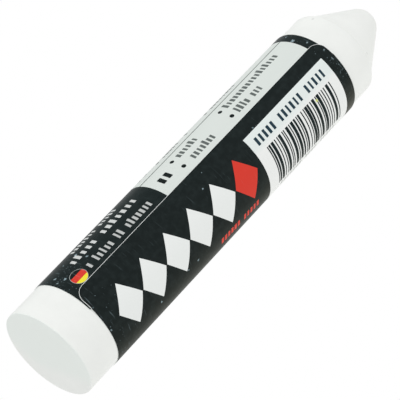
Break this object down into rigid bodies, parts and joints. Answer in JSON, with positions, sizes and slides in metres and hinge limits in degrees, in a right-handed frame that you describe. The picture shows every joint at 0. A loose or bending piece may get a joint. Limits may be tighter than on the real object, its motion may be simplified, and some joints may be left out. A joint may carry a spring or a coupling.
{
  "type": "chalk stick",
  "caption": "Thick round stick of waxed marking chalk with a flat butt and a blunt coned point, wrapped in a printed film label that laps over itself.",
  "frame": {"origin": "centre of the flat butt end, at its lowest face", "axes": "+Z along the stick from the butt to the point; -Y is the side that faces the viewer, with the label's seam a little towards -X"},
  "size_m": [0.02, 0.0201, 0.1015],
  "materials": {
    "chalk": "matte waxed chalk, white",
    "label_film": "satin printed film, near-black with pale grey and white panels"
  },
  "bodies": {
    "root": {"chalk_stick": "chalk", "wrap_label": "label_film"}
  },
  "joints": []
}
